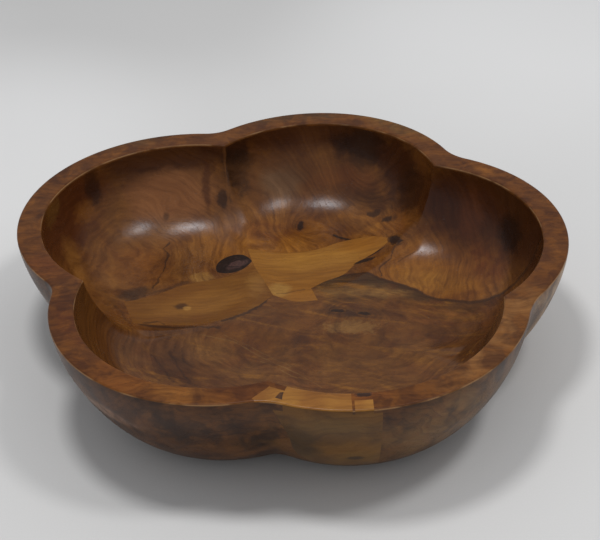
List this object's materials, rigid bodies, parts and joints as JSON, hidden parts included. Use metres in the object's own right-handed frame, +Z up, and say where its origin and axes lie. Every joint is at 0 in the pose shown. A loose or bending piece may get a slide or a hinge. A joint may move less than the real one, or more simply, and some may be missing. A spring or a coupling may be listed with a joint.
{
  "type": "carved wooden bowl",
  "caption": "Broad shallow five-lobed bowl carved from root wood, with a thick flat rim, scalloped hollow, pale let-in wood and a flat foot.",
  "frame": {"origin": "middle of the flat foot, on the surface the bowl stands on", "axes": "+Z up through the mouth, +Y to the back lobe, +X to the right-hand lobe; the pale rim patches face -Y"},
  "size_m": [0.3583, 0.3459, 0.08],
  "materials": {
    "root_wood": "rubbed satin varnish over brown root wood",
    "pale_wood": "rubbed satin varnish over honey-coloured wood",
    "olive_wood": "rubbed satin varnish over olive-brown sapwood",
    "knot_wood": "rubbed satin varnish over dark knot",
    "dark_filler": "dark resin and wood dust, rubbed flush"
  },
  "bodies": {
    "root": {"bowl_body": "root_wood", "floor_strip_left": "pale_wood", "floor_strip_right": "pale_wood", "floor_knot_large": "knot_wood", "floor_knot_back": "knot_wood", "floor_knot_front_left": "knot_wood", "floor_knot_front_right": "knot_wood", "floor_fill_strip_end": "dark_filler", "floor_fill_streak": "dark_filler", "rim_patch_front": "pale_wood", "rim_gap_fill": "dark_filler", "rim_patch_triangle": "pale_wood", "rim_patch_small": "pale_wood", "rim_knot_front": "knot_wood", "wall_patch_front": "olive_wood"}
  },
  "joints": []
}
